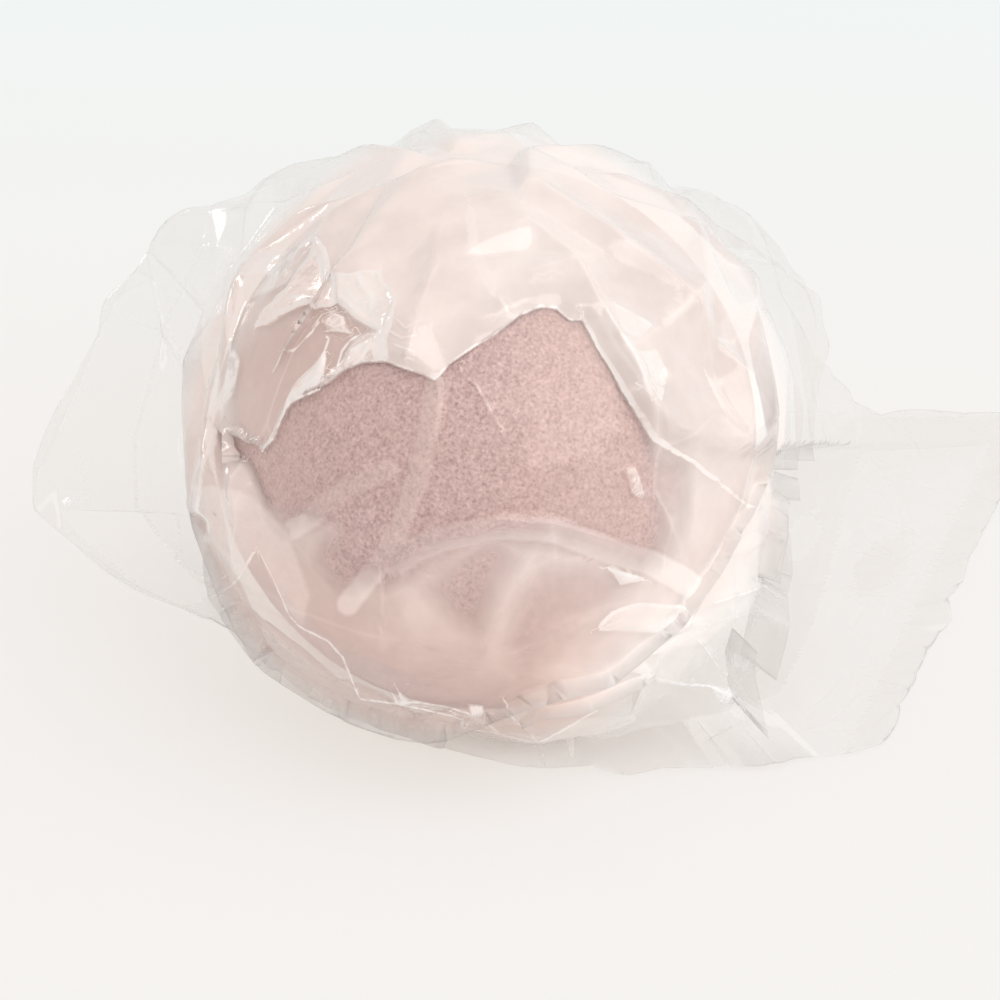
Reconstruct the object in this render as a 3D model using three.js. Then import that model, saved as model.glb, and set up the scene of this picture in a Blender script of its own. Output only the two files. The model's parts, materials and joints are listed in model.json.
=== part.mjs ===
// A foam makeup sponge sealed in a slack bag of clear film.
// Millimetres, +Z up. The bag lies on z = 0 and the sponge stands over the origin, its tip along -Y.
// The bag is a flat tube of film, so its upper and lower walls meet in a front fold and a rear fold.
// Its closed end stands up on the left, and its mouth end lies flat on the right.

import * as THREE from "three";

// Sponge: a short egg that lies on its side
const spongeWidth = 42;
const spongeTip = 23.5;
const spongeBack = 20.5;
const spongeTaper = 0.05;
const spongeSides = 40;
const spongeRings = 20;

// Film and its clearances
const filmThickness = 0.08;
const filmGap = 0.3;
const foldGap = 0.6;
const seatGap = 0.3;

// Room that the film leaves round the sponge
const topRoom = 0.6;
const tipRoom = 0.6;
const sideRoom = 1.2;
const backRoom = 10.5;
const footSink = 0.6;

// Edges of the bag's middle, each point as [azimuth in degrees, reach past the room, lift]
const frontFold = [
  [188, -0.5, 6.5],
  [200, -4.5, 3],
  [227, -10, 0],
  [287, -7.5, 0],
  [325, 4, 0],
];
const rearFold = [
  [52, 32, 0],
  [75, 17, 0],
  [110, 11, 4],
  [143, 7, 25],
];

// Pleats of the upper film, each as [azimuth in degrees, half width in degrees, height]
const pleats = [
  [10, 8, 2.2],
  [32, 7, 1.6],
  [53, 9, 3],
  [80, 10, 2],
  [104, 9, 3],
  [128, 8, 2],
  [168, 7, 1.6],
  [222, 7, 0.8],
  [252, 6, 0.6],
  [278, 6, 0.9],
  [303, 7, 1.4],
  [338, 9, 2.4],
];

// Mouth end: how far it runs out from its fold line at the front and at the rear
const mouthFront = [9.5, 3];
const mouthRear = [17, 1];
const mouthWave = 2.2;
const mouthWaves = 3;

// Closed end: the upper, outermost and lower point of its edge, each off the fold line [x, y, z]
const endUpper = [-5.5, -1, -1.5];
const endMiddle = [-14, 1, -4.5];
const endLower = [-7, 4.5, 0];
const endWave = 1.2;
const endWaves = 2;

// Welded seals
const mouthSealWidth = 4;
const endSealWidth = 2.5;

// Fineness of the films
const upperRows = 16;
const lowerRows = 9;
const frontColumns = 18;
const mouthColumns = 14;
const rearColumns = 18;
const endColumns = 8;
const flapRows = 5;
const arcSteps = 24;

// Sizes that follow
const spongeRadius = spongeWidth / 2;
const spongeHeight = filmThickness + seatGap + spongeRadius;
const upperReach = spongeRadius + topRoom;
const lowerReach = spongeRadius + seatGap + footSink;
const upperLift = filmThickness + filmGap;
const stackHeight = 2 * filmThickness + filmGap;

const radians = THREE.MathUtils.degToRad;

// Half width of the room round the sponge, level with its middle, in the direction of an azimuth
function roomAcross(azimuth) {
  const towardsTip = Math.sin(azimuth) < 0;
  const depth = towardsTip ? spongeTip + tipRoom : spongeBack + backRoom;
  const side = spongeRadius + sideRoom;
  return 1 / Math.hypot(Math.cos(azimuth) / side, Math.sin(azimuth) / depth);
}

function edgePoint([degrees, reach, lift]) {
  const azimuth = radians(degrees);
  const radius = roomAcross(azimuth) + reach;
  return new THREE.Vector3(radius * Math.cos(azimuth), radius * Math.sin(azimuth), lift);
}

function samples(curve, count) {
  return curve.getSpacedPoints(count).slice(0, count);
}

// Outline of the bag's middle, counter-clockwise from the lower end of the closed end's fold line
const frontPoints = frontFold.map(edgePoint);
const rearPoints = rearFold.map(edgePoint);
const frontCurve = new THREE.CatmullRomCurve3(frontPoints);
const rearCurve = new THREE.CatmullRomCurve3(rearPoints);
const mouthLine = new THREE.LineCurve3(frontPoints.at(-1), rearPoints[0]);
const endLine = new THREE.LineCurve3(rearPoints.at(-1), frontPoints[0]);
const outline = [
  ...samples(frontCurve, frontColumns),
  ...samples(mouthLine, mouthColumns),
  ...samples(rearCurve, rearColumns),
  ...samples(endLine, endColumns),
];

// Points of taut film from above or below the sponge to one point of the outline.
// The film follows the room round the sponge, then leaves it in a straight line.
function meridian(edge, side, rows, roomHeight) {
  const azimuth = Math.atan2(edge.y, edge.x);
  const across = roomAcross(azimuth);
  const floor = filmThickness;
  const edgeHeight = edge.z + (side > 0 ? upperLift : floor);
  const radius = Math.hypot(edge.x, edge.y);
  const target = new THREE.Vector2(radius / across, (edgeHeight - spongeHeight) / roomHeight);
  const leave = target.angle() + side * Math.acos(1 / target.length());
  const start = (side * Math.PI) / 2;
  const turn = THREE.MathUtils.euclideanModulo(leave - start + Math.PI, 2 * Math.PI) - Math.PI;
  const stations = [];
  for (let step = 0; step <= arcSteps; step += 1) {
    const angle = start + (turn * step) / arcSteps;
    const out = new THREE.Vector2(Math.cos(angle) / across, Math.sin(angle) / roomHeight).normalize();
    const place = new THREE.Vector2(across * Math.cos(angle), spongeHeight + roomHeight * Math.sin(angle));
    stations.push({ place, out });
  }
  stations.push({ place: new THREE.Vector2(radius, edgeHeight), out: stations.at(-1).out });
  const path = new THREE.CurvePath();
  for (let i = 1; i < stations.length; i += 1) {
    path.add(new THREE.LineCurve(stations[i - 1].place, stations[i].place));
  }
  const lengths = [0, ...path.getCurveLengths()];
  const points = [];
  for (let row = 0; row <= rows; row += 1) {
    const along = (lengths.at(-1) * row) / rows;
    let i = 1;
    while (i < stations.length - 1 && lengths[i] < along) {
      i += 1;
    }
    const span = lengths[i] - lengths[i - 1];
    const part = span > 0 ? Math.min(1, (along - lengths[i - 1]) / span) : 1;
    const place = stations[i - 1].place.clone().lerp(stations[i].place, part);
    const out = stations[i - 1].out.clone().lerp(stations[i].out, part).normalize();
    if (side < 0 && place.y < floor) {
      place.y = floor;
      out.set(0, -1);
    }
    points.push({ azimuth, place, out, share: row / rows });
  }
  return points;
}

function pleatHeight(azimuth, share) {
  let height = 0;
  for (const [degrees, halfWidth, rise] of pleats) {
    const turn = azimuth - radians(degrees);
    const apart = Math.abs(Math.atan2(Math.sin(turn), Math.cos(turn))) / radians(halfWidth);
    height += rise * Math.max(0, 1 - apart);
  }
  return height * Math.sin(Math.PI * share) ** 2;
}

function inSpace({ azimuth, place, out }, offset) {
  const radius = place.x + out.x * offset;
  const height = place.y + out.y * offset;
  return new THREE.Vector3(radius * Math.cos(azimuth), radius * Math.sin(azimuth), height);
}

// A closed thin sheet between two matching grids of points, given row by row.
// A round sheet's rows close on themselves, and all points of its first row are one point.
function sheetGeometry(under, over, round) {
  const rows = under.length;
  const columns = under[0].length;
  const positions = [];
  const indices = [];
  for (const grid of [under, over]) {
    for (const row of grid) {
      for (const point of row) {
        positions.push(point.x, point.y, point.z);
      }
    }
  }
  const at = (side, row, column) => {
    const place = round && row === 0 ? 0 : column % columns;
    return (side * rows + row) * columns + place;
  };
  const quad = (a, b, c, d) => {
    if (a !== b && b !== c && a !== c) {
      indices.push(a, b, c);
    }
    if (a !== c && c !== d && a !== d) {
      indices.push(a, c, d);
    }
  };
  const spans = round ? columns : columns - 1;
  for (let row = 0; row + 1 < rows; row += 1) {
    for (let column = 0; column < spans; column += 1) {
      const next = column + 1;
      quad(at(1, row, column), at(1, row + 1, column), at(1, row + 1, next), at(1, row, next));
      quad(at(0, row, column), at(0, row, next), at(0, row + 1, next), at(0, row + 1, column));
    }
    if (!round) {
      quad(at(0, row, 0), at(0, row + 1, 0), at(1, row + 1, 0), at(1, row, 0));
      quad(at(0, row + 1, spans), at(0, row, spans), at(1, row, spans), at(1, row + 1, spans));
    }
  }
  for (let column = 0; column < spans; column += 1) {
    const next = column + 1;
    const last = rows - 1;
    quad(at(0, last, column), at(0, last, next), at(1, last, next), at(1, last, column));
    if (!round) {
      quad(at(0, 0, next), at(0, 0, column), at(1, 0, column), at(1, 0, next));
    }
  }
  const geometry = new THREE.BufferGeometry();
  geometry.setAttribute("position", new THREE.Float32BufferAttribute(positions, 3));
  geometry.setIndex(indices);
  return geometry;
}

function acrossRows(meridians, rows, pick) {
  const grid = [];
  for (let row = 0; row <= rows; row += 1) {
    grid.push(meridians.map((points) => pick(points[row])));
  }
  return grid;
}

function upperFilmGeometry() {
  const meridians = outline.map((edge) => meridian(edge, 1, upperRows, upperReach));
  const rise = (point) => pleatHeight(point.azimuth, point.share);
  const under = acrossRows(meridians, upperRows, (point) => inSpace(point, rise(point)));
  const over = acrossRows(meridians, upperRows, (point) => inSpace(point, rise(point) + filmThickness));
  return sheetGeometry(under, over, true);
}

function lowerFilmGeometry() {
  const meridians = outline.map((edge) => meridian(edge, -1, lowerRows, lowerReach));
  const over = acrossRows(meridians, lowerRows, (point) => inSpace(point, 0));
  const under = acrossRows(meridians, lowerRows, (point) => inSpace(point, filmThickness));
  return sheetGeometry(under, over, true);
}

function spongeGeometry() {
  const profile = [];
  for (let ring = 0; ring <= spongeRings; ring += 1) {
    const angle = (Math.PI * ring) / spongeRings;
    const along = -Math.cos(angle);
    const length = along < 0 ? spongeTip : spongeBack;
    const drawnIn = 1 - spongeTaper * Math.min(0, along) ** 2;
    const radius = ring % spongeRings === 0 ? 0 : spongeRadius * Math.sin(angle) * drawnIn;
    profile.push(new THREE.Vector2(radius, along * length));
  }
  return new THREE.LatheGeometry(profile, spongeSides);
}

// A flat end of the bag: two films from its fold line out to its edge, and the seal along that edge
function flapGeometries({ inner, outer, columns, sealWidth, wave, waves, bottom }) {
  const from = inner.getSpacedPoints(columns);
  const to = outer.getSpacedPoints(columns);
  const along = from.at(-1).clone().sub(from[0]);
  const outward = to[columns / 2].clone().sub(from[columns / 2]);
  const normal = outward.cross(along).normalize();
  const lengths = from.map((point, column) => point.distanceTo(to[column]));
  const point = (column, distance, height) => {
    const place = from[column].clone().lerp(to[column], distance / lengths[column]);
    return place.addScaledVector(normal, bottom + height);
  };
  const swell = (column, share) => {
    const across = Math.sin((Math.PI * column) / columns);
    const ripple = 0.5 - 0.5 * Math.cos((2 * Math.PI * waves * column) / columns);
    return wave * across * ripple * Math.sin(Math.PI * share);
  };
  const filmGrid = (height, waved) => {
    const grid = [];
    for (let row = 0; row <= flapRows; row += 1) {
      const share = row / flapRows;
      const line = [];
      for (let column = 0; column <= columns; column += 1) {
        const end = lengths[column] - sealWidth - filmGap;
        const distance = THREE.MathUtils.lerp(foldGap, end, share);
        line.push(point(column, distance, height + (waved ? swell(column, share) : 0)));
      }
      grid.push(line);
    }
    return grid;
  };
  const sealGrid = (height) => {
    const grid = [];
    for (const inset of [sealWidth, 0]) {
      grid.push(from.map((_, column) => point(column, lengths[column] - inset, height)));
    }
    return grid;
  };
  return {
    upper: sheetGeometry(filmGrid(upperLift, true), filmGrid(stackHeight, true), false),
    lower: sheetGeometry(filmGrid(0, false), filmGrid(filmThickness, false), false),
    seal: sheetGeometry(sealGrid(0), sealGrid(2 * filmThickness), false),
  };
}

function mouthEnd() {
  const [start, end] = [mouthLine.v1, mouthLine.v2];
  const front = start.clone().add(new THREE.Vector3(...mouthFront, 0));
  const rear = end.clone().add(new THREE.Vector3(...mouthRear, 0));
  return flapGeometries({
    inner: mouthLine,
    outer: new THREE.LineCurve3(front, rear),
    columns: mouthColumns,
    sealWidth: mouthSealWidth,
    wave: mouthWave,
    waves: mouthWaves,
    bottom: 0,
  });
}

function closedEnd() {
  const [start, end] = [endLine.v1, endLine.v2];
  const middle = start.clone().lerp(end, 0.5);
  const edge = new THREE.CatmullRomCurve3([
    start.clone().add(new THREE.Vector3(...endUpper)),
    middle.add(new THREE.Vector3(...endMiddle)),
    end.clone().add(new THREE.Vector3(...endLower)),
  ]);
  return flapGeometries({
    inner: endLine,
    outer: edge,
    columns: endColumns,
    sealWidth: endSealWidth,
    wave: endWave,
    waves: endWaves,
    bottom: filmThickness,
  });
}

const foam = () => new THREE.MeshStandardMaterial({ color: 0xd9b6b0, roughness: 0.95 });
const film = () =>
  new THREE.MeshStandardMaterial({ color: 0xf4f2ef, roughness: 0.15, transparent: true, opacity: 0.3 });

function piece(name, geometry, material) {
  const mesh = new THREE.Mesh(geometry, material);
  mesh.name = name;
  return mesh;
}

const sponge = piece("sponge", spongeGeometry(), foam());
sponge.position.set(0, 0, spongeHeight);

const mouth = mouthEnd();
const closed = closedEnd();

const baggedSponge = new THREE.Group();
baggedSponge.add(
  sponge,
  piece("upper_film", upperFilmGeometry(), film()),
  piece("lower_film", lowerFilmGeometry(), film()),
  piece("mouth_upper_film", mouth.upper, film()),
  piece("mouth_lower_film", mouth.lower, film()),
  piece("mouth_seal", mouth.seal, film()),
  piece("end_upper_film", closed.upper, film()),
  piece("end_lower_film", closed.lower, film()),
  piece("end_seal", closed.seal, film()),
);

export default baggedSponge;
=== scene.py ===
import json
import math

import bmesh
import bpy
import numpy as np
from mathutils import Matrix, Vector
from mathutils.bvhtree import BVHTree
from mathutils.kdtree import KDTree


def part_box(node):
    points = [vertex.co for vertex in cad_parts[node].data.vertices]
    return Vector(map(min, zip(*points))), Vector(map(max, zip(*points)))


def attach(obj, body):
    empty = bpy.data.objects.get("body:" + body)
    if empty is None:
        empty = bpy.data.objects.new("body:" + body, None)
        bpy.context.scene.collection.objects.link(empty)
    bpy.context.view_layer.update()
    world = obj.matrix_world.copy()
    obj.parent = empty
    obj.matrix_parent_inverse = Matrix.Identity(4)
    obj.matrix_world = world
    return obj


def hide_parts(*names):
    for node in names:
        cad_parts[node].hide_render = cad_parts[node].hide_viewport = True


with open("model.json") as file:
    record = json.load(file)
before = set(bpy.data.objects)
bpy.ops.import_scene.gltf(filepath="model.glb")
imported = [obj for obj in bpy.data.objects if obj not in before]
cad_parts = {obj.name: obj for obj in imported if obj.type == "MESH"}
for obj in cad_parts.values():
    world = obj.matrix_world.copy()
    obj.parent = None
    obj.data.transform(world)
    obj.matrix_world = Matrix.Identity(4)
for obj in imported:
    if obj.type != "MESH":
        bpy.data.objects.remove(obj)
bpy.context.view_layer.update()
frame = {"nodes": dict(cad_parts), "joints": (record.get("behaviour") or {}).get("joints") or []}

MM = 0.001

# The sponge as the frame holds it: its widest section is in the plane y = 0
SPONGE_LOW, SPONGE_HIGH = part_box("sponge")
SPONGE_RADIUS = (SPONGE_HIGH.x - SPONGE_LOW.x) / 2
SPONGE_TIP = -SPONGE_LOW.y
SPONGE_BACK = SPONGE_HIGH.y
SPONGE_TAPER = 0.05
SPONGE_MIDDLE = Vector((0, 0, (SPONGE_LOW.z + SPONGE_HIGH.z) / 2))
SPONGE_PLAY = next(j for j in frame["joints"] if j["name"] == "sponge_shift")["range_m"][1]

# The photograph's view
PICTURE = 1000
VIEW_ELEVATION = math.radians(28)
VIEW_DISTANCE = 240 * MM
PIXELS_PER_MM = 12.86
SPONGE_PIXEL = (485, 433)

TIGHT_GAP = 0.12 * MM


# Camera

class Eye:
    """The photograph's viewpoint, which also turns points of the model into pixels of the picture."""

    def __init__(self):
        self.forward = np.array((0, math.cos(VIEW_ELEVATION), -math.sin(VIEW_ELEVATION)))
        self.right = np.array((1.0, 0, 0))
        self.up = np.cross(self.right, self.forward)
        self.focal = PIXELS_PER_MM / MM * VIEW_DISTANCE
        aside = (PICTURE / 2 - SPONGE_PIXEL[0]) / PIXELS_PER_MM * MM
        below = (PICTURE / 2 - SPONGE_PIXEL[1]) / PIXELS_PER_MM * MM
        self.place = np.array(SPONGE_MIDDLE) - self.forward * VIEW_DISTANCE
        self.place = self.place + self.right * aside - self.up * below

    def pixels(self, points):
        away = points - self.place
        depth = away @ self.forward
        across = PICTURE / 2 + self.focal * (away @ self.right) / depth
        down = PICTURE / 2 - self.focal * (away @ self.up) / depth
        return np.stack([across, down], axis=1)


def make_camera(eye):
    data = bpy.data.cameras.new("photo_camera")
    data.sensor_width = 36
    data.lens = data.sensor_width * eye.focal / PICTURE
    data.clip_start = 0.01
    camera = bpy.data.objects.new("photo_camera", data)
    bpy.context.scene.collection.objects.link(camera)
    camera.location = eye.place
    camera.rotation_euler = Vector(eye.forward).to_track_quat("-Z", "Y").to_euler()
    bpy.context.scene.camera = camera


# Shader maths

class Sock:
    """A shader socket that takes part in Python sums."""

    def __init__(self, tree, socket):
        self.tree = tree
        self.socket = socket

    def math(self, operation, *others):
        node = self.tree.nodes.new("ShaderNodeMath")
        node.operation = operation
        for place, value in zip(node.inputs, (self, *others)):
            feed(self.tree, place, value)
        return Sock(self.tree, node.outputs[0])

    def __add__(self, other):
        return self.math("ADD", other)

    __radd__ = __add__

    def __mul__(self, other):
        return self.math("MULTIPLY", other)

    __rmul__ = __mul__

    def __sub__(self, other):
        return self.math("SUBTRACT", other)

    def __rsub__(self, other):
        return (self * -1.0) + other

    def __pow__(self, other):
        return self.math("POWER", other)

    def within(self, low, high):
        return self.math("MAXIMUM", low).math("MINIMUM", high)

    def step(self, low, high):
        return ((self - low) * (1 / (high - low))).within(0.0, 1.0)


def feed(tree, place, value):
    """Links an input to a socket, or sets it to a plain value."""
    if isinstance(value, Sock):
        tree.links.new(value.socket, place)
    else:
        place.default_value = value


class Finish:
    """One material's node tree."""

    def __init__(self, name):
        self.material = bpy.data.materials.new(name)
        self.material.use_nodes = True
        self.tree = self.material.node_tree
        self.tree.nodes.clear()

    def node(self, kind, settings=None, **values):
        node = self.tree.nodes.new("ShaderNode" + kind)
        for key, value in (settings or {}).items():
            setattr(node, key, value)
        for key, value in values.items():
            feed(self.tree, node.inputs[key.replace("_", " ")], value)
        return node

    def out(self, node, name=0):
        return Sock(self.tree, node.outputs[name])

    def coordinates(self):
        return self.out(self.node("TexCoord"), "Object")

    def noted(self, name):
        """A value that the mesh holds at each of its points."""
        return self.out(self.node("Attribute", {"attribute_name": name}), "Fac")

    def noise(self, scale, detail=2.0, roughness=0.5):
        node = self.node(
            "TexNoise", Vector=self.coordinates(), Scale=scale, Detail=detail, Roughness=roughness
        )
        return self.out(node, "Fac")

    def blend(self, share, low, high):
        """A colour between two others."""
        node = self.node("Mix", {"data_type": "RGBA"})
        for place, value in ((0, share), (6, low), (7, high)):
            feed(self.tree, node.inputs[place], value)
        return Sock(self.tree, node.outputs[2])

    def mix(self, share, first, second):
        """A shader between two others."""
        node = self.node("MixShader", Fac=share)
        self.tree.links.new(first.outputs[0], node.inputs[1])
        self.tree.links.new(second.outputs[0], node.inputs[2])
        return node

    def show(self, shader):
        output = self.tree.nodes.new("ShaderNodeOutputMaterial")
        self.tree.links.new(shader.outputs[0], output.inputs["Surface"])
        return self.material


# Finishes

FOAM_PORE = (0.32, 0.19, 0.185, 1)
FOAM_SKIN = (0.91, 0.68, 0.66, 1)
FOAM_CLOUD = (0.67, 0.445, 0.41, 1)
FILM_WHITE = (0.95, 0.945, 0.94, 1)
# Rosy haze over the foam, warmer low down as painted warm shade.
FILM_ROSY = (0.97, 0.72, 0.63, 1)
FILM_TINGE = (0.988, 0.985, 0.98, 1)
# Painted glow: the film's downward-facing underside on the right glows a little, as painted light that lightens its
# shade.
PAINTED_GLOW = (0.95, 0.89, 0.82, 1)
PAINTED_GLOW_STRENGTH = 0.17
FLOOR_MATT = (0.90, 0.895, 0.885, 1)
FLOOR_SHADED = (0.66, 0.78, 0.92, 1)
FLOOR_FRONT = (0.985, 0.905, 0.82, 1)
FLOOR_BACK = (0.943, 0.938, 0.869, 1)
DARK = (0, 0, 0, 1)


def foam_finish():
    finish = Finish("pink_foam")
    pores = finish.node(
        "TexVoronoi", {"feature": "SMOOTH_F1"}, Vector=finish.coordinates(), Scale=3000.0, Smoothness=0.4
    )
    pit = finish.out(pores, "Distance").step(0.05, 0.6)
    mottle = finish.noise(1500.0, 3.0, 0.65).step(0.3, 0.7)
    grit = finish.noise(3800.0, 2.0, 0.6).step(0.3, 0.7)
    cloud = finish.noise(55.0, 2.0).step(0.3, 0.7)
    tone = (0.22 * pit + 0.30 * mottle + 0.48 * grit).within(0.0, 1.0)
    grain = finish.blend(tone, FOAM_PORE, FOAM_SKIN)
    colour = finish.blend(cloud * 0.3, grain, FOAM_CLOUD)
    bump = finish.node("Bump", Strength=0.55, Distance=0.00025, Height=tone)
    shader = finish.node(
        "BsdfPrincipled", Base_Color=colour, Roughness=0.92, Normal=finish.out(bump)
    )
    shader.inputs["Specular IOR Level"].default_value = 0.15
    shader.inputs["Sheen Weight"].default_value = 0.15
    return finish.show(shader)


def film_finish():
    """Clear film: it mirrors more at a slant, and hides more where it stands off, lies double or is creased; part of
    its white haze is painted light, and it carries painted glints and a painted glow where it faces down.
    """
    finish = Finish("clear_film")
    slant = finish.out(finish.node("LayerWeight", Blend=0.5), "Facing")
    streaks = finish.noise(420.0, 4.0, 0.6)
    blotches = finish.noise(190.0, 3.0, 0.55)
    crinkle = finish.noise(700.0, 3.0, 0.6)
    wander = finish.noise(520.0, 3.0, 0.5)
    cracks = 1.0 - (wander - 0.5).math("ABSOLUTE").step(0.005, 0.035)
    breaks = finish.noise(1500.0, 2.0, 0.5).step(0.38, 0.62)
    ragged = 1.6 * (streaks - 0.5)
    clear = (finish.noted("into_clear") + ragged).step(-2.0, 2.0)
    # Doubled film, and painted glints drawn as white patches.
    doubled_and_glints = (finish.noted("into_fold") + ragged).step(-1.5, 1.5) * finish.noted("fold")
    crackle = 1.1 * cracks + 1.6 * (breaks - 0.5) * streaks - 0.3
    doubled_and_glints = doubled_and_glints * (1.0 + finish.noted("crumpled") * crackle)
    # Crease lines: white film along the crease, partly painted glints.
    line = (1.0 - finish.noted("beside_crease").math("ABSOLUTE")).within(0.0, 1.0)
    line = line * finish.noted("crease") * (0.45 + 0.9 * breaks) * (2.4 * streaks - 0.2).within(0.0, 1.0)
    mirror = 0.045 + 0.42 * slant ** 5.0
    # White haze where the film stands off, partly painted light.
    haze_and_painted_light = finish.noted("haze_and_painted_light") * (1.0 - clear * finish.noted("clearness_less_painted_light")) * (0.75 + 0.5 * blotches)
    cloud_and_painted_light = haze_and_painted_light + doubled_and_glints.within(0.0, 1.0) + line + 0.16 * finish.noted("bend") ** 2.0 + 0.07 * slant
    cover = (cloud_and_painted_light + mirror).within(0.02, 0.95)
    bump = finish.node("Bump", Strength=0.2, Distance=0.0002, Height=crinkle)
    # Rosy where the haze lies over the foam, with painted warm shade low down.
    rosy = finish.noted("rosy_and_warm_shade") * (1.0 - slant ** 5.0) * (1.0 - 0.6 * (doubled_and_glints + line).within(0.0, 1.0))
    shader = finish.node(
        "BsdfPrincipled",
        Base_Color=finish.blend(rosy, FILM_WHITE, FILM_ROSY),
        Roughness=0.1,
        Metallic=mirror.math("DIVIDE", cover).within(0.0, 1.0),
        Normal=finish.out(bump),
        # Painted glow where the film faces down, lightening its shade.
        Emission_Color=finish.blend(finish.noted("glow"), DARK, PAINTED_GLOW),
        Emission_Strength=PAINTED_GLOW_STRENGTH,
    )
    glassy = finish.node("BsdfTransparent", Color=FILM_TINGE)
    return finish.show(finish.mix(cover, glassy, shader))


def floor_finish():
    """Pale table top, seen by the camera with its shadows lightened and warmed as in the photograph."""
    finish = Finish("pale_floor")
    along = finish.out(finish.node("SeparateXYZ", Vector=finish.coordinates()), "Y").step(0.05, 0.16)
    matt = finish.node("BsdfPrincipled", Base_Color=FLOOR_MATT, Roughness=0.9)
    matt.inputs["Specular IOR Level"].default_value = 0.1
    shaded = finish.node("BsdfDiffuse", Color=FLOOR_SHADED)
    glow = finish.node("Emission", Color=finish.blend(along, FLOOR_FRONT, FLOOR_BACK), Strength=1.05)
    path = finish.node("LightPath")
    seen = finish.out(path, "Is Camera Ray") + finish.out(path, "Is Glossy Ray")
    seen = (seen + finish.out(path, "Is Transmission Ray")).within(0.0, 1.0)
    return finish.show(finish.mix(seen, matt, finish.mix(0.68, shaded, glow)))


# Mesh helpers

def choose(thing):
    bpy.ops.object.select_all(action="DESELECT")
    thing.select_set(True)
    bpy.context.view_layer.objects.active = thing


def points_of(thing):
    flat = np.empty(len(thing.data.vertices) * 3)
    thing.data.vertices.foreach_get("co", flat)
    return flat.reshape(-1, 3)


def normals_of(thing):
    flat = np.empty(len(thing.data.vertices) * 3)
    thing.data.vertex_normals.foreach_get("vector", flat)
    return flat.reshape(-1, 3)


def set_points(thing, points):
    thing.data.vertices.foreach_set("co", np.asarray(points, dtype=np.float64).ravel())
    thing.data.update()


def set_attribute(thing, name, values):
    layer = thing.data.attributes.get(name) or thing.data.attributes.new(name, "FLOAT", "POINT")
    layer.data.foreach_set("value", np.asarray(values, dtype=np.float32))


def smooth_shade(thing):
    choose(thing)
    bpy.ops.object.shade_smooth()


def apply_modifier(thing, kind, **settings):
    choose(thing)
    modifier = thing.modifiers.new(kind.lower(), kind)
    for key, value in settings.items():
        setattr(modifier, key, value)
    bpy.ops.object.modifier_apply(modifier=modifier.name)


def join(thing, other):
    """Makes another object part of a thing."""
    choose(thing)
    other.select_set(True)
    bpy.ops.object.join()


def merged_copy(node, name):
    """A copy of a CAD node whose loose triangles are joined."""
    thing = bpy.data.objects.new(name, frame["nodes"][node].data.copy())
    bpy.context.scene.collection.objects.link(thing)
    thing.data.materials.clear()
    mesh = bmesh.new()
    mesh.from_mesh(thing.data)
    bmesh.ops.remove_doubles(mesh, verts=mesh.verts, dist=0.01 * MM)
    mesh.to_mesh(thing.data)
    mesh.free()
    return thing


def outer_skin(thing, inside):
    """Keeps the skin of a thin closed sheet that faces away from a point inside the bag."""
    points = points_of(thing)
    tree = KDTree(len(points))
    for index, point in enumerate(points):
        tree.insert(point, index)
    tree.balance()
    mesh = bmesh.new()
    mesh.from_mesh(thing.data)
    mesh.verts.ensure_lookup_table()
    inner = []
    for index, point in enumerate(points):
        twin = min(tree.find_n(point, 2), key=lambda found: found[1] == index)[0]
        if (Vector(point) - twin).dot(Vector(point) - inside) < 0:
            inner.append(mesh.verts[index])
    bmesh.ops.delete(mesh, geom=inner, context="VERTS")
    mesh.to_mesh(thing.data)
    mesh.free()
    return thing


# The sponge

def sponge_scale(points):
    """How far points lie from the sponge's middle, in units of its own surface."""
    away = points - np.array(SPONGE_MIDDLE)
    length = np.where(away[:, 1] < 0, SPONGE_TIP, SPONGE_BACK)
    along = np.clip(away[:, 1] / length, -1, 1)
    drawn_in = 1 - SPONGE_TAPER * np.minimum(0, along) ** 2
    across = np.hypot(away[:, 0], away[:, 2]) / (SPONGE_RADIUS * drawn_in)
    return np.hypot(across, away[:, 1] / length)


def sponge_gap(points):
    """Distance of points from the sponge's surface, counted along the ray from its middle."""
    away = np.linalg.norm(points - np.array(SPONGE_MIDDLE), axis=1)
    return away * (1 - 1 / sponge_scale(points))


def to_sponge(points, gap):
    """Points moved along the ray from the sponge's middle to a given gap from its surface."""
    middle = np.array(SPONGE_MIDDLE)
    away = points - middle
    far = np.linalg.norm(away, axis=1, keepdims=True)
    surface = far / sponge_scale(points)[:, None]
    return middle + away / far * (surface + np.asarray(gap).reshape(-1, 1))


def make_sponge():
    bpy.ops.object.select_all(action="DESELECT")
    bpy.ops.mesh.primitive_ico_sphere_add(subdivisions=7, radius=SPONGE_RADIUS, location=SPONGE_MIDDLE)
    sponge = bpy.context.object
    sponge.name = "foam_sponge"
    bpy.ops.object.transform_apply(location=True, rotation=True, scale=True)
    set_points(sponge, to_sponge(points_of(sponge), np.zeros(len(sponge.data.vertices))))
    lumps = bpy.data.textures.new("foam_lumps", "CLOUDS")
    lumps.noise_scale = 6 * MM
    apply_modifier(sponge, "DISPLACE", texture=lumps, texture_coords="LOCAL", strength=0.25 * MM, mid_level=0.5)
    pores = bpy.data.textures.new("foam_pores", "CLOUDS")
    pores.noise_scale = 0.8 * MM
    apply_modifier(sponge, "DISPLACE", texture=pores, texture_coords="LOCAL", strength=0.12 * MM, mid_level=1.0)
    smooth_shade(sponge)
    sponge.data.materials.append(foam_finish())
    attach(sponge, "sponge")
    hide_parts("sponge")
    return sponge
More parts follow.
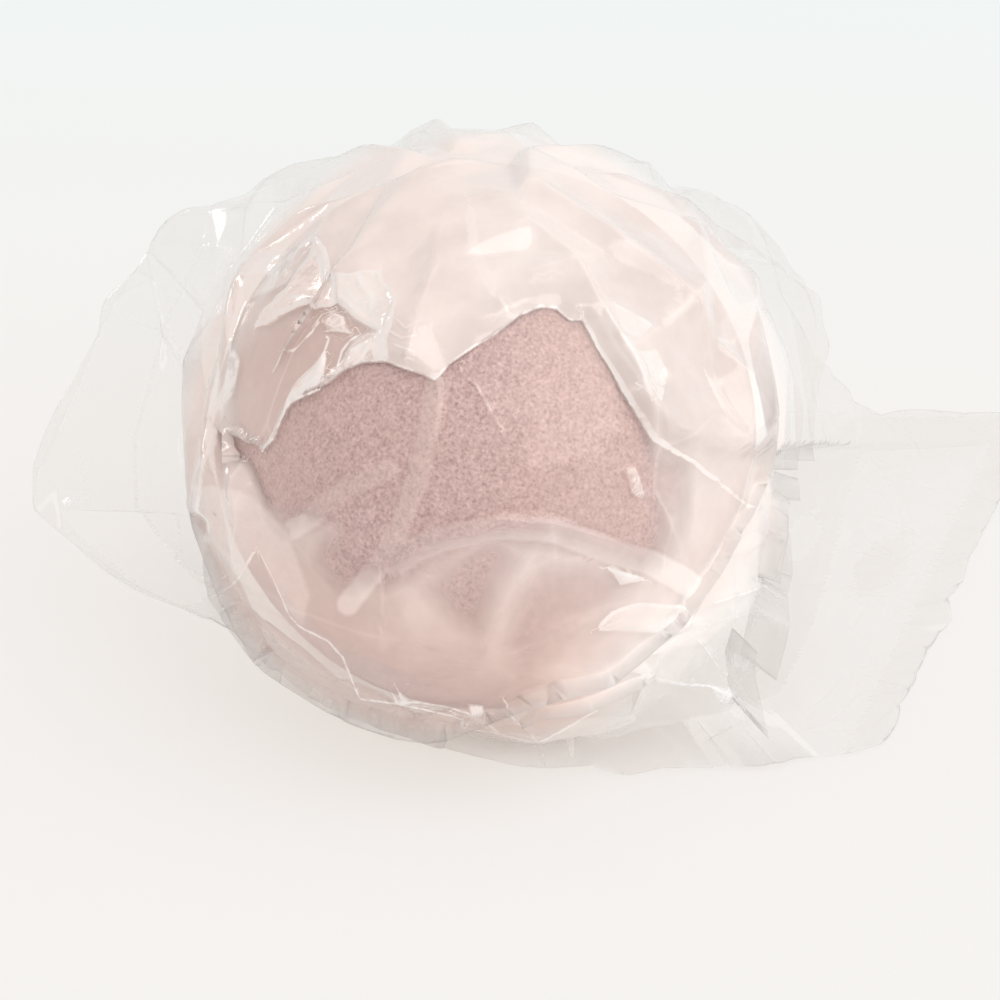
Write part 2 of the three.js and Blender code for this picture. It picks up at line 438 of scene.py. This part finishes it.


# Folds, creases and painted glints of the film, by the photograph's pixels

# Where the film lies tight on the sponge and its foam shows: corners, how clearly
CLEAR_AREAS = (
    (((212, 430), (250, 452), (276, 417), (300, 392), (322, 383), (345, 368), (362, 362), (385, 360), (400, 365),
      (420, 373), (435, 380), (447, 365), (475, 345), (512, 318), (520, 311), (540, 305), (558, 307), (572, 318),
      (586, 316), (603, 350), (625, 378), (645, 405), (668, 440), (690, 470), (690, 520), (680, 570), (650, 583),
      (610, 568), (560, 553), (500, 545), (440, 558), (400, 578), (375, 592), (335, 585),
      (322, 560), (330, 530), (300, 522), (287, 528), (260, 505), (235, 480), (214, 450)), 1),
    (((430, 600), (455, 565), (480, 548), (500, 545), (515, 565), (495, 590), (478, 640), (455, 632)), 0.65),
    (((515, 625), (545, 580), (590, 565), (618, 578), (640, 600), (620, 635), (580, 660), (530, 687), (510, 665)),
     0.5),
    (((225, 400), (232, 340), (245, 300), (286, 283), (318, 252), (330, 280), (336, 302), (352, 318), (372, 330),
      (356, 338), (346, 352), (338, 364), (318, 378), (276, 415), (250, 450), (222, 425)), 0.38),
)

# Doubled film that lies flat on the sponge or beside it, as strips: points, width in pixels, cover
DOUBLED_STRIPS = (
    (((434, 385), (427, 430), (415, 480), (398, 525), (375, 570), (342, 612)), 23, 0.26),
    (((383, 472), (345, 490), (310, 518), (292, 530)), 20, 0.22),
    (((388, 572), (410, 556), (440, 543), (500, 530), (560, 537), (610, 553), (660, 572), (700, 592)), 27, 0.22),
)

# Other folds of doubled film, and painted glints and highlights drawn as white patches, as areas: corners, cover, how
# far crumpled, softness of the edge in pixels
FOLDS_AND_PAINTED_GLINTS = (
    (((395, 600), (430, 598), (460, 640), (488, 690), (400, 682)), 0.07, 0, 8),
    (((500, 590), (518, 620), (508, 690), (474, 690), (478, 645)), 0.10, 0, 8),
    (((243, 270), (248, 256), (262, 250), (275, 254), (284, 258), (276, 266), (285, 270), (278, 275), (262, 273)),
     0.45, 0, 2),
    (((255, 326), (263, 310), (278, 300), (288, 290), (300, 270), (311, 257), (318, 240), (326, 252), (332, 270),
      (333, 300), (325, 304), (310, 303), (288, 313), (270, 325)), 0.42, 0.5, 1),
    (((335, 273), (350, 276), (376, 272), (380, 280), (390, 290), (396, 303), (392, 318), (385, 328), (376, 328),
      (360, 320), (346, 306), (335, 300)), 0.38, 0.7, 1),
    (((376, 336), (383, 318), (394, 312), (392, 326), (386, 338), (388, 358), (375, 360), (372, 346)), 0.55, 0.6, 1),
    (((320, 318), (332, 311), (343, 317), (346, 326), (350, 332), (336, 331), (324, 327)), 0.4, 0.6, 1),
    (((344, 366), (350, 350), (362, 344), (372, 338), (374, 346), (362, 358)), 0.28, 0.6, 1),
    (((252, 450), (262, 436), (278, 416), (286, 398), (300, 380), (312, 364), (322, 350), (324, 358), (316, 388),
      (298, 398), (282, 416), (266, 434)), 0.35, 0.3, 1),
    (((303, 378), (312, 367), (323, 352), (322, 366), (313, 381), (305, 386)), 0.85, 0.2, 1),
    (((286, 402), (293, 393), (303, 389), (298, 401), (290, 405)), 0.8, 0.2, 1),
    (((630, 470), (645, 468), (660, 500), (656, 507), (640, 496)), 0.4, 0.4, 1),
    (((613, 574), (634, 582), (656, 592), (632, 597), (624, 586)), 0.55, 0, 1),
    (((608, 645), (625, 628), (650, 618), (690, 615), (714, 628), (716, 638), (690, 640), (640, 645)), 0.2, 0.2, 2),
    (((195, 485), (215, 485), (245, 500), (287, 530), (303, 600), (292, 637), (278, 620), (255, 560), (245, 555),
      (205, 610), (195, 600)), 0.15, 0.1, 1.5),
    (((762, 680), (790, 690), (812, 710), (800, 722), (772, 702)), 0.5, 0.3, 1),
    (((395, 706), (404, 718), (394, 722)), 0.7, 0, 1),
    (((468, 718), (482, 720), (484, 732), (472, 732)), 0.6, 0.3, 1),
    (((740, 718), (768, 730), (788, 752), (764, 752), (750, 736)), 0.5, 0.3, 1),
    (((614, 306), (632, 314), (650, 326), (640, 336), (624, 332)), 0.4, 1, 1),
    (((640, 352), (656, 350), (668, 372), (662, 400), (652, 384)), 0.4, 1, 1),
)

# Sharp creases: points, width in pixels, whiteness (white film along the crease, partly painted glints), ridge height
# in millimetres
CREASES = (
    (((202, 245), (228, 250), (234, 268), (246, 275), (280, 272)), 4, 0.6, 0.2),
    (((232, 265), (232, 300), (229, 340), (234, 360), (222, 400), (211, 430), (205, 482), (197, 540), (196, 600)),
     4, 0.6, 0.4),
    (((320, 385), (345, 368), (362, 362), (385, 360), (400, 365), (420, 373), (435, 380), (447, 365), (475, 345),
      (490, 337), (512, 318)), 3, 0.55, 0.3),
    (((500, 300), (512, 318), (520, 311), (540, 305), (558, 307), (572, 318), (586, 316)), 3, 0.5, 0.3),
    (((586, 316), (600, 345), (625, 378), (645, 405), (670, 440), (700, 463), (722, 480)), 4, 0.85, 0.35),
    (((730, 488), (750, 503), (765, 512)), 3, 0.6, 0.3),
    (((812, 514), (855, 510)), 3, 0.5, 0.2),
    (((462, 372), (478, 387), (490, 408), (500, 426)), 4, 0.55, 0.15),
    (((612, 305), (630, 315), (648, 325)), 3, 0.6, 0.2),
    (((622, 335), (640, 360), (655, 390)), 3, 0.6, 0.2),
    (((708, 380), (718, 400), (722, 408)), 4, 0.6, 0.2),
    (((255, 326), (263, 310), (278, 300), (288, 290), (300, 270), (311, 257), (318, 242)), 2.6, 0.85, 0.2),
    (((318, 240), (326, 252), (330, 265), (332, 285), (334, 300)), 3, 0.9, 0.3),
    (((322, 262), (324, 278), (330, 293)), 3, 0.85, 0.1),
    (((255, 326), (268, 324), (278, 317), (300, 306), (312, 302), (326, 303), (334, 300)), 2.6, 0.85, 0.2),
    (((270, 268), (276, 258), (288, 255), (300, 250), (314, 241)), 3, 0.7, 0.2),
    (((276, 297), (284, 292), (287, 300), (279, 305)), 2.5, 0.75, 0.1),
    (((262, 311), (275, 308), (272, 318), (284, 310)), 2.2, 0.7, 0.1),
    (((296, 300), (306, 298), (309, 303), (298, 305)), 2.5, 0.8, 0.1),
    (((335, 274), (350, 276), (362, 272), (377, 272)), 2.2, 0.7, 0.15),
    (((338, 302), (346, 307), (356, 317), (366, 323), (376, 328)), 3, 0.85, 0.2),
    (((345, 286), (350, 293), (356, 303)), 3.5, 0.85, 0.1),
    (((358, 277), (363, 288), (372, 299), (371, 312), (378, 326)), 2.2, 0.7, 0.1),
    (((377, 272), (383, 284), (392, 292), (395, 304), (391, 318), (384, 332), (376, 338)), 2.4, 0.75, 0.15),
    (((356, 304), (368, 303), (380, 300), (390, 303)), 2, 0.6, 0.1),
    (((362, 316), (372, 314), (384, 310)), 2, 0.6, 0.1),
    (((320, 318), (331, 312), (342, 317), (344, 325), (334, 327), (324, 322)), 2.2, 0.75, 0.1),
    (((324, 329), (338, 330), (350, 333), (343, 327)), 2.2, 0.7, 0.1),
    (((285, 348), (300, 335), (312, 319)), 2.4, 0.75, 0.2),
    (((306, 321), (316, 310), (331, 308)), 2.2, 0.5, 0.1),
    (((336, 364), (341, 351), (350, 341), (356, 337)), 2.6, 0.75, 0.15),
    (((329, 370), (335, 373), (339, 369)), 3, 0.7, 0.1),
    (((350, 367), (362, 359), (368, 348), (372, 340)), 2.6, 0.75, 0.15),
    (((350, 353), (361, 346)), 2.4, 0.6, 0.1),
    (((326, 338), (322, 350), (312, 363), (300, 378), (287, 396), (276, 416), (262, 436), (251, 451)), 2.6, 0.9, 0.25),
    (((251, 451), (266, 434), (280, 416), (291, 403), (301, 397), (315, 390)), 2.6, 0.85, 0.2),
    (((303, 387), (312, 380), (321, 364), (322, 352)), 2.4, 0.85, 0.15),
    (((392, 332), (402, 338), (412, 336)), 2, 0.4, 0.05),
    (((396, 345), (410, 350)), 2, 0.4, 0.05),
    (((398, 320), (406, 328), (416, 322)), 2, 0.4, 0.05),
    (((255, 560), (265, 585), (278, 625), (290, 637), (320, 652), (335, 670), (345, 700), (352, 715), (380, 720),
      (420, 727), (450, 733), (475, 742), (500, 750), (530, 762), (555, 770)), 2.5, 0.75, 0.2),
    (((245, 558), (225, 585), (205, 608)), 3, 0.6, 0.2),
    (((394, 708), (398, 720), (410, 716), (445, 722), (470, 730)), 3, 0.7, 0.3),
    (((485, 730), (500, 750)), 3, 0.6, 0.2),
    (((545, 764), (570, 748), (590, 735), (604, 726)), 3, 0.8, 0.3),
    (((505, 715), (525, 740), (541, 762)), 2, 0.4, 0.2),
    (((645, 683), (670, 695), (710, 712), (740, 720), (765, 735), (785, 752)), 4, 0.85, 0.4),
    (((608, 644), (625, 628), (650, 618), (690, 615)), 3, 0.85, 0.3),
    (((610, 646), (640, 643), (690, 637), (718, 637)), 3, 0.7, 0.3),
    (((613, 574), (634, 583), (656, 592)), 3, 0.9, 0.2),
    (((730, 612), (770, 606), (800, 598), (850, 575), (866, 560)), 3, 0.5, 0.3),
    (((715, 655), (735, 680), (750, 700), (772, 718)), 2, 0.35, 0.2),
    (((470, 215), (474, 250), (492, 290)), 9, 0.15, 0.2),
    (((60, 510), (95, 548), (130, 585), (165, 592), (195, 590)), 3, 0.5, 0.3),
    (((205, 247), (165, 332), (150, 390), (136, 440), (138, 520), (140, 588)), 3, 0.4, 0.4),
    (((75, 500), (62, 520), (66, 546), (100, 560)), 3, 0.6, 0.3),
    (((82, 462), (86, 476), (88, 492)), 4, 0.5, 0.2),
    (((125, 318), (165, 332), (180, 362)), 3, 0.4, 0.2),
)


def beside_line(pixels, line):
    """Distance in pixels from each pixel to a line of points, below 0 on the line's left side."""
    nearest = np.full(len(pixels), 1e9)
    for start, end in zip(line, line[1:]):
        a = np.array(start, float)
        run = np.array(end, float) - a
        share = np.clip(((pixels - a) @ run) / (run @ run), 0, 1)
        away = pixels - a - share[:, None] * run
        side = np.where(run[0] * away[:, 1] - run[1] * away[:, 0] < 0, -1, 1)
        far = np.linalg.norm(away, axis=1)
        nearest = np.where(far < np.abs(nearest), side * far, nearest)
    return nearest


def to_line(pixels, line):
    return np.abs(beside_line(pixels, line))


def inside_area(pixels, corners):
    """Signed distance in pixels into a closed area, below 0 outside it."""
    inside = np.zeros(len(pixels), bool)
    loop = list(corners) + [corners[0]]
    for (x0, y0), (x1, y1) in zip(loop, loop[1:]):
        crosses = (y0 > pixels[:, 1]) != (y1 > pixels[:, 1])
        with np.errstate(divide="ignore", invalid="ignore"):
            edge = x0 + (pixels[:, 1] - y0) * (x1 - x0) / (y1 - y0)
        inside ^= crosses & (pixels[:, 0] < edge)
    return np.where(inside, 1, -1) * to_line(pixels, loop)


def ease(low, high, values):
    share = np.clip((values - low) / (high - low), 0, 1)
    return share * share * (3 - 2 * share)


# Crumple of the film: flat facets between straight creases, from folded waves in many directions

class Crumple:
    def __init__(self, seed, lengths, height):
        draw = np.random.default_rng(seed)
        self.waves = []
        for length in lengths:
            way = draw.normal(size=3)
            way /= np.linalg.norm(way)
            drift = draw.normal(size=3) / (3.5 * length)
            self.waves.append((length, way, draw.uniform(0, 1), drift, draw.uniform(0, 6.3), height * length))

    def __call__(self, points):
        rise = np.zeros(len(points))
        for length, way, phase, drift, start, height in self.waves:
            sway = 0.18 * np.sin(points @ drift * 5 + start)
            turn = (points @ way) / length + phase + sway
            fold = np.abs(turn % 1 - 0.5) * 4 - 1
            rise += height * (0.5 + 0.5 * np.sin(points @ drift * 6.3 + 2 * start)) * fold
        return rise


SMALL_FACETS = Crumple(23, [w * MM for w in (7.5, 6.2, 5.1, 4.3, 3.6)], 0.022)


def note_bends(film):
    """Notes how sharply the film bends at each point, from flat at 0 to a crease at 1."""
    points = points_of(film)
    normals = normals_of(film)
    ends = np.empty(len(film.data.edges) * 2, int)
    film.data.edges.foreach_get("vertices", ends)
    first, second = ends.reshape(-1, 2).T
    run = points[second] - points[first]
    run /= np.maximum(np.linalg.norm(run, axis=1, keepdims=True), 1e-9)
    bend = np.zeros(len(points))
    count = np.zeros(len(points))
    for here, sign in ((first, 1), (second, -1)):
        np.add.at(bend, here, sign * np.einsum("ij,ij->i", run, normals[here]))
        np.add.at(count, here, 1)
    set_attribute(film, "bend", ease(0.03, 0.14, np.abs(bend / np.maximum(count, 1))))


# Distances in pixels: what counts as far outside an area, and the softer edge of a doubled strip
FAR_OUTSIDE = -40.0
STRIP_SOFTNESS = 1.6
# The clear area's edge is softened at the right and below, between these pixels
BLUR_RIGHT, BLUR_RIGHT_FROM, BLUR_BELOW = (600, 660), (400, 460), (455, 530)
BLUR = 0.88
# How far from the sponge's middle its outline fades out
OUTLINE_EDGE = (265, 288)


def into_clear_areas(pixels):
    """How far each pixel lies inside the areas where the foam shows, and how clearly it shows there."""
    depth = np.full(len(pixels), FAR_OUTSIDE)
    clearness = np.zeros(len(pixels))
    for area, share in CLEAR_AREAS:
        inside = inside_area(pixels, area)
        clearness = np.where(inside > depth, share, clearness)
        depth = np.maximum(depth, inside)
    across, down = pixels.T
    blurred = np.maximum(ease(*BLUR_RIGHT, across) * ease(*BLUR_RIGHT_FROM, down), ease(*BLUR_BELOW, down))
    return depth * (1 - BLUR * blurred), clearness


def into_folds_and_glints(pixels):
    """How far each pixel lies inside doubled film, and inside painted glints drawn the same way, with that area's
    cover and how far it is crumpled.
    """
    depth = np.full(len(pixels), FAR_OUTSIDE)
    cover = np.zeros(len(pixels))
    crumpled = np.zeros(len(pixels))
    folds = [
        ((0.5 * width - to_line(pixels, line)) / STRIP_SOFTNESS, hides, 0) for line, width, hides in DOUBLED_STRIPS
    ]
    folds += [(inside_area(pixels, area) / soft, hides, crumple) for area, hides, crumple, soft in FOLDS_AND_PAINTED_GLINTS]
    for inside, hides, crumple in folds:
        chosen = (inside > depth) | (inside > -2)
        cover = np.where(chosen, hides, cover)
        crumpled = np.where(chosen, crumple, crumpled)
        depth = np.maximum(depth, inside)
    return depth, cover, crumpled


def beside_creases(pixels):
    """How far each pixel lies beside its nearest crease, in widths of it, with its whiteness, partly painted glints,
    and its ridge.
    """
    beside = np.full(len(pixels), 9.0)
    whiteness_and_glint = np.zeros(len(pixels))
    ridge = np.zeros(len(pixels))
    for line, width, white_and_glint, height in CREASES:
        away = beside_line(pixels, line) / (0.7 * width)
        nearest = np.abs(away) < np.abs(beside)
        beside = np.where(nearest, away, beside)
        whiteness_and_glint = np.where(nearest, white_and_glint, whiteness_and_glint)
        ridge = np.maximum(ridge, height * MM * np.exp(-(np.sqrt(away ** 2 + 1.5) - 1.2) / 2.2))
    return beside, whiteness_and_glint * (1 - ease(3, 5, np.abs(beside))), ridge


def clear_of_sponge(points):
    """Points kept outside the sponge wherever it stands on its slide, and above the table."""
    for share in (0, 0.25, 0.5, 0.75, 1):
        slid = points - np.array((0, SPONGE_PLAY * share, 0))
        fix = to_sponge(slid, TIGHT_GAP) - slid
        points = np.where((sponge_gap(slid) < TIGHT_GAP)[:, None], points + fix, points)
    points[:, 2] = np.maximum(points[:, 2], 0.0)
    return points


def note_tones(film, normals, over, into_clear, clearness):
    """Notes how cloudy and how rosy the film is, by its place in millimetres: its white haze is partly painted light,
    lighter towards the top and the right and over the foam's shaded underside; its rosy tint is partly painted warm
    shade low down; and its downward-facing underside on the right gets a painted glow.
    """
    points = points_of(film)
    x, y, z = points.T / MM
    gap = sponge_gap(points) / MM
    height = ease(8, 30, z)
    close = np.maximum(1 - ease(1.2, 5, gap), over * (1 - ease(9, 24, gap)))
    # White haze where the film stands off the sponge, and painted light: lighter towards the top and the right, and
    # over the foam's shaded underside at the lower right.
    haze_and_painted_light = 0.34 + (0.53 - 0.11 * ease(6, 14, x)) * height + (1 - height) * 0.42 * ease(-2, 10, x)
    haze_and_painted_light = np.maximum(haze_and_painted_light * (1 - 0.16 * height * (1 - ease(0, 60, -into_clear))), 0.72 * ease(9, 16, x))
    slack = ease(2, 10, x) * (1 - ease(17, 23, x)) * (1 - ease(14, 26, z)) * (1 - ease(6, 14, y))
    slack = np.maximum(slack, ease(-7, -12, x) * (1 - ease(8, 14, z)) * (1 - ease(0, 8, y)))
    # Rosy where the film lies over the foam, its colour through the haze; rosier low down as painted warm shade.
    rosy_and_warm_shade = 0.85 - (0.34 + 0.10 * ease(-4, 4, x)) * ease(14, 28, z)
    rosy_and_warm_shade = rosy_and_warm_shade * (1 - 0.7 * ease(4, 13, x) * (1 - height)) * np.maximum(over, 1 - ease(1, 4, gap))
    set_attribute(film, "haze_and_painted_light", np.maximum(haze_and_painted_light * (0.06 + 0.94 * close), 0.18 * slack))
    # The clear areas lose some clearness on the right and at the far left, where the white haze is laid on as painted
    # light.
    set_attribute(film, "clearness_less_painted_light", clearness * (1 - 0.32 * ease(0, 9, x) - 0.25 * ease(-9, -17, x)))
    set_attribute(film, "rosy_and_warm_shade", np.maximum(rosy_and_warm_shade, 0.75 * ease(-4, 6, into_clear)))
    # Painted glow: film facing down on the right, close to the sponge, glows to lighten its shade.
    set_attribute(
        film, "glow", ease(0, -0.5, normals[:, 2]) * ease(0, 7, x) * (1 - ease(5, 9, gap)) * ease(1, 3, z)
    )


def dress_film(film, eye, photographed):
    """Presses the film on the sponge, draws the photograph's folds on its near side with painted glints among them,
    and notes its cloudy parts and its painted light.
    """
    points = points_of(film)
    normals = normals_of(film)
    small = SMALL_FACETS(points)
    pixels = eye.pixels(points)
    near_side = photographed & (np.einsum("ij,ij->i", normals, eye.place - points) > 0)
    into_clear, clearness = into_clear_areas(pixels)
    into_clear = np.where(near_side, into_clear, FAR_OUTSIDE)
    into_fold, fold, crumpled = into_folds_and_glints(pixels)
    into_fold = np.where(near_side, into_fold, FAR_OUTSIDE)
    beside_crease, crease, ridge = beside_creases(pixels)
    ridge = np.where(near_side, ridge, 0)
    moved = points + normals * ((0.3 + crumpled * ease(-6, 4, into_fold)) * small + ridge)[:, None]
    raised = 0.35 * MM * ease(-3, 4, into_fold)
    held = to_sponge(moved, TIGHT_GAP + 0.3 * np.maximum(small, 0) + ridge * 0.5 + raised)
    moved = moved + (held - moved) * ease(-12, 4, into_clear)[:, None]
    set_points(film, clear_of_sponge(moved))
    over = near_side * (1 - ease(*OUTLINE_EDGE, np.linalg.norm(pixels - SPONGE_PIXEL, axis=1)))
    note_tones(film, normals, over, into_clear, clearness)
    set_attribute(film, "into_clear", into_clear)
    # Cover of doubled film and of painted glints.
    set_attribute(film, "into_fold", into_fold)
    set_attribute(film, "fold", fold)
    set_attribute(film, "crumpled", crumpled)
    set_attribute(film, "crease", np.where(near_side, crease, 0))
    set_attribute(film, "beside_crease", beside_crease)


# The bag

FILM_NODES = {
    "upper_film": "bag",
    "lower_film": "bag",
    "mouth_upper_film": "mouth_end",
    "mouth_lower_film": "mouth_end",
    "mouth_seal": "mouth_end",
    "end_upper_film": "closed_end",
    "end_lower_film": "closed_end",
    "end_seal": "closed_end",
}
CLOTH_MESH = 1.05 * MM
CLOTH_SCALE = 20
CLOTH_FRAMES = 40
SLACK = 0.09
FACET_SHARE = 0.06
FACET_CUTS = 3
FLAP_THICKNESS = 1.6 * MM


def bridged_middle():
    """The closed shape of the bag's middle, from the outer skins of its two walls."""
    upper = outer_skin(merged_copy("upper_film", "whole_bag"), SPONGE_MIDDLE)
    lower = outer_skin(merged_copy("lower_film", "lower_skin"), SPONGE_MIDDLE)
    join(upper, lower)
    bpy.ops.object.mode_set(mode="EDIT")
    bpy.ops.mesh.select_mode(type="EDGE")
    bpy.ops.mesh.select_all(action="DESELECT")
    bpy.ops.mesh.select_non_manifold()
    bpy.ops.mesh.bridge_edge_loops()
    bpy.ops.mesh.select_all(action="SELECT")
    bpy.ops.mesh.normals_make_consistent(inside=False)
    bpy.ops.object.mode_set(mode="OBJECT")
    return upper


def whole_bag():
    """The bag as one closed and evenly meshed film: its middle, and its flat ends run on from it."""
    bag = bridged_middle()
    for node in ("mouth_lower_film", "mouth_seal", "end_lower_film", "end_seal"):
        flap = outer_skin(merged_copy(node, f"{node}_flap"), SPONGE_MIDDLE)
        apply_modifier(flap, "SOLIDIFY", thickness=FLAP_THICKNESS, offset=0)
        join(bag, flap)
    choose(bag)
    bag.data.remesh_voxel_size = CLOTH_MESH
    bpy.ops.object.voxel_remesh()
    apply_modifier(bag, "SMOOTH", factor=0.5, iterations=2)
    return bag


# Where the slack film stands out in a shoulder: place, pull and reach, in millimetres
SHOULDERS = (
    ((-21, 18, 29), (-4.5, 1, 3.5), 9),
    ((24, 18, 23), (5.5, 1, 3), 10),
)


def raise_shoulders(bag):
    points = points_of(bag)
    for place, pull, reach in SHOULDERS:
        away = np.linalg.norm(points / MM - np.array(place), axis=1) / reach
        points = points + np.exp(-away ** 2)[:, None] * np.array(pull) * MM
    set_points(bag, points)


def film_hold(points):
    """How firmly the film's stiffness holds each point of it up: most at hems and ends, least on the near side."""
    x, y, z = points.T
    hold = 0.10 + 0.12 * ease(0, 14 * MM, y) + 0.10 * ease(30 * MM, 42 * MM, z)
    hold += 0.35 * ease(-20 * MM, -27 * MM, x)
    hold += 0.40 * ease(18 * MM, 28 * MM, x)
    hold += 0.40 * (1 - ease(1.5 * MM, 7 * MM, z))
    return np.minimum(hold, 0.8)


def settle(bag):
    """Lets the film, cut larger than the form that it is held to, buckle over the sponge and the table."""
    scene = bpy.context.scene
    bpy.ops.object.select_all(action="DESELECT")
    bpy.ops.mesh.primitive_ico_sphere_add(subdivisions=5, radius=SPONGE_RADIUS, location=SPONGE_MIDDLE)
    block = bpy.context.object
    bpy.ops.object.transform_apply(location=True, rotation=True, scale=True)
    set_points(block, CLOTH_SCALE * to_sponge(points_of(block), np.full(len(block.data.vertices), -0.1 * MM)))
    bpy.ops.mesh.primitive_plane_add(size=0.3 * CLOTH_SCALE, location=(0, 0, -0.1 * MM * CLOTH_SCALE))
    ground = bpy.context.object
    for solid in (block, ground):
        solid.modifiers.new("collision", "COLLISION")
        solid.collision.thickness_outer = 0.002
        solid.collision.cloth_friction = 20
    held = bag.vertex_groups.new(name="held")
    for index, hold in enumerate(film_hold(points_of(bag))):
        held.add([index], float(hold), "REPLACE")
    set_points(bag, CLOTH_SCALE * points_of(bag))
    choose(bag)
    cloth = bag.modifiers.new("cloth", "CLOTH")
    film = cloth.settings
    film.quality = 6
    film.mass = 0.2
    film.tension_stiffness = 60
    film.compression_stiffness = 60
    film.shear_stiffness = 40
    film.bending_stiffness = 3
    film.tension_damping = 10
    film.compression_damping = 10
    film.shear_damping = 10
    film.bending_damping = 1
    film.air_damping = 2
    film.shrink_min = -SLACK
    film.vertex_group_mass = "held"
    film.pin_stiffness = 1.0
    film.effector_weights.gravity = 0.5
    cloth.collision_settings.distance_min = 0.002
    cloth.collision_settings.collision_quality = 2
    cloth.point_cache.frame_start = 1
    cloth.point_cache.frame_end = CLOTH_FRAMES
    for moment in range(1, CLOTH_FRAMES + 1):
        scene.frame_set(moment)
    choose(bag)
    bpy.ops.object.modifier_apply(modifier=cloth.name)
    scene.frame_set(1)
    set_points(bag, points_of(bag) / CLOTH_SCALE)
    bag.vertex_groups.clear()
    for solid in (block, ground):
        bpy.data.objects.remove(solid, do_unlink=True)


def part_films(bag):
    """Parts the bag's film into its pieces, each the part that lies nearest to the CAD node that it stands for."""
    graph = bpy.context.evaluated_depsgraph_get()
    trees = [BVHTree.FromObject(frame["nodes"][node], graph) for node in FILM_NODES]
    middles = np.empty(len(bag.data.polygons) * 3)
    bag.data.polygons.foreach_get("center", middles)
    nearest = []
    for middle in middles.reshape(-1, 3):
        nearest.append(int(np.argmin([tree.find_nearest(middle)[3] for tree in trees])))
    nearest = np.array(nearest)
    films = {}
    for index, node in enumerate(FILM_NODES):
        film = bpy.data.objects.new(f"bag_{node}", bag.data.copy())
        bpy.context.scene.collection.objects.link(film)
        mesh = bmesh.new()
        mesh.from_mesh(film.data)
        mesh.faces.ensure_lookup_table()
        others = [mesh.faces[i] for i in np.flatnonzero(nearest != index)]
        bmesh.ops.delete(mesh, geom=others, context="FACES")
        mesh.to_mesh(film.data)
        mesh.free()
        films[node] = film
    bpy.data.objects.remove(bag, do_unlink=True)
    return films


def refine(film, eye, lines, reach):
    """Meshes the film's near side twice as finely within a reach in pixels of the lines drawn on it."""
    mesh = film.data
    middles = np.empty(len(mesh.polygons) * 3)
    mesh.polygons.foreach_get("center", middles)
    middles = middles.reshape(-1, 3)
    normals = np.empty(len(mesh.polygons) * 3)
    mesh.polygons.foreach_get("normal", normals)
    facing = np.einsum("ij,ij->i", normals.reshape(-1, 3), eye.place - middles) > 0
    pixels = eye.pixels(middles)
    near = np.zeros(len(pixels), bool)
    for line, width in lines:
        near |= to_line(pixels, line) < reach + width / 2
    choose(film)
    mesh.vertices.foreach_set("select", np.zeros(len(mesh.vertices), bool))
    mesh.edges.foreach_set("select", np.zeros(len(mesh.edges), bool))
    mesh.polygons.foreach_set("select", facing & near)
    bpy.ops.object.mode_set(mode="EDIT")
    bpy.ops.mesh.select_mode(type="FACE")
    bpy.ops.mesh.subdivide(number_cuts=1)
    bpy.ops.object.mode_set(mode="OBJECT")


# How close to a line the film is meshed finely, and the thin creases, above a height, that are meshed finer still
LINE_REACH = 11
FINE_REACH = 6
FINE_CREASE = 2.7
FINE_ABOVE = 460


def refine_near_side(film, eye):
    lines = [(line, 0) for line, *_ in CREASES] + [(line, width) for line, width, _ in DOUBLED_STRIPS]
    lines += [(area + area[:1], 0) for area, *_ in FOLDS_AND_PAINTED_GLINTS] + [(area + area[:1], 0) for area, _ in CLEAR_AREAS]
    refine(film, eye, lines, LINE_REACH)
    fine = [(line, 0) for line, width, *_ in CREASES if width < FINE_CREASE and line[0][1] < FINE_ABOVE]
    refine(film, eye, fine, FINE_REACH)


PHOTOGRAPHED_FILMS = ("upper_film", "end_upper_film", "mouth_upper_film")


def make_bag(eye, sponge):
    """The bag's films and seals, each on its own body."""
    film_material = film_finish()
    bag = whole_bag()
    raise_shoulders(bag)
    settle(bag)
    apply_modifier(bag, "DECIMATE", ratio=FACET_SHARE)
    apply_modifier(bag, "SUBSURF", subdivision_type="SIMPLE", levels=FACET_CUTS)
    apply_modifier(bag, "SMOOTH", factor=0.5, iterations=5)
    note_bends(bag)
    films = part_films(bag)
    refine_near_side(films["upper_film"], eye)
    for node, film in films.items():
        dress_film(film, eye, node in PHOTOGRAPHED_FILMS)
        smooth_shade(film)
        film.data.materials.append(film_material)
        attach(film, FILM_NODES[node])
        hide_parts(node)


# Floor and light

def make_stage():
    bpy.ops.object.select_all(action="DESELECT")
    bpy.ops.mesh.primitive_plane_add(size=4, location=(0, 0, -0.05 * MM))
    floor = bpy.context.object
    floor.name = "table_top"
    bpy.ops.object.transform_apply(location=True, rotation=True, scale=True)
    floor.data.materials.append(floor_finish())


def make_lamp(name, place, aim, size, power):
    data = bpy.data.lights.new(name, "AREA")
    data.size = size
    data.energy = power
    lamp = bpy.data.objects.new(name, data)
    bpy.context.scene.collection.objects.link(lamp)
    lamp.location = place
    lamp.rotation_euler = (Vector(aim) - Vector(place)).to_track_quat("-Z", "Y").to_euler()


def make_light():
    world = bpy.data.worlds.new("studio")
    bpy.context.scene.world = world
    world.use_nodes = True
    sky = world.node_tree.nodes["Background"]
    sky.inputs["Color"].default_value = (1.0, 0.98, 0.96, 1)
    sky.inputs["Strength"].default_value = 0.79
    make_lamp("overhead_softbox", (0.38, -0.34, 0.56), (0, 0, 0.02), 0.70, 2.1)
    make_lamp("key_softbox", (0.65, 0.02, 0.40), (0, 0, 0.02), 0.35, 0.3)
    make_lamp("glint_strip", (-0.50, 0.32, 0.30), (0, 0, 0.02), 0.10, 0.15)
    bpy.context.scene.cycles.transparent_max_bounces = 24
    bpy.context.scene.view_settings.view_transform = "Standard"


eye = Eye()
make_camera(eye)
make_stage()
make_light()
make_bag(eye, make_sponge())
